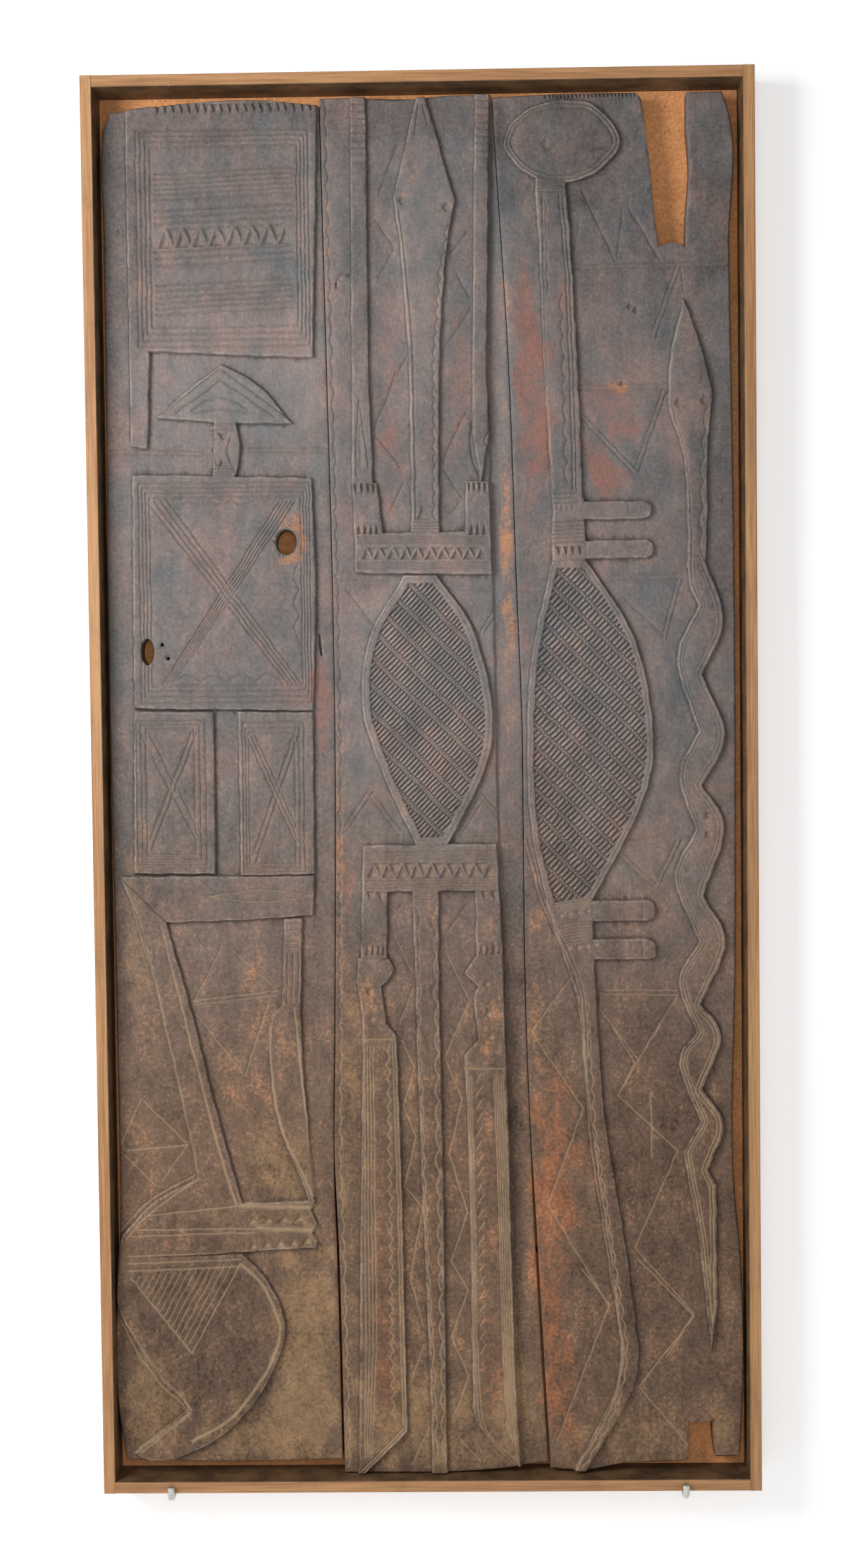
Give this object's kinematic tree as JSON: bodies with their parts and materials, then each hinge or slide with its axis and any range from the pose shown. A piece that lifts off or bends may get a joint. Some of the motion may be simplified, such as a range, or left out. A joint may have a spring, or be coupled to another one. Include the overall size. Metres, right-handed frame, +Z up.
{
  "type": "wooden door",
  "caption": "Carved wooden door leaf of hewn planks in a shallow wooden tray with a cork back, standing on bent wall hooks.",
  "frame": {"origin": "centre of the back face, on the wall plane", "axes": "+Z up, +Y back into the wall, +X to the right seen from the front"},
  "size_m": [0.85, 0.126, 1.8243],
  "materials": {
    "carved_wood": "worn dusty patina",
    "tray_wood": "satin",
    "board_wood": "raw board",
    "cork": "matte cork",
    "forged_iron": "dark forged",
    "screw_steel": "plain",
    "zinc_hook": "zinc plated"
  },
  "bodies": {
    "wall_hooks": {"support_hook_left": "zinc_hook", "support_hook_right": "zinc_hook"},
    "framed_door": {"plank_left": "carved_wood", "plank_middle": "carved_wood", "plank_right": "carved_wood", "seam_staples_left": "forged_iron", "seam_staples_right": "forged_iron", "door_fixing_screws": "screw_steel", "cork_panel": "cork", "backing_board": "board_wood", "backing_board_screws": "screw_steel", "frame_stile_left": "tray_wood", "frame_stile_right": "tray_wood", "frame_rail_top": "tray_wood", "frame_rail_bottom": "tray_wood", "frame_corner_screws": "screw_steel"}
  },
  "joints": [
    {"name": "lift_off", "type": "slide", "parent": "wall_hooks", "child": "framed_door", "axis": [0, 0, 1], "range_m": [0, 0.03]}
  ]
}
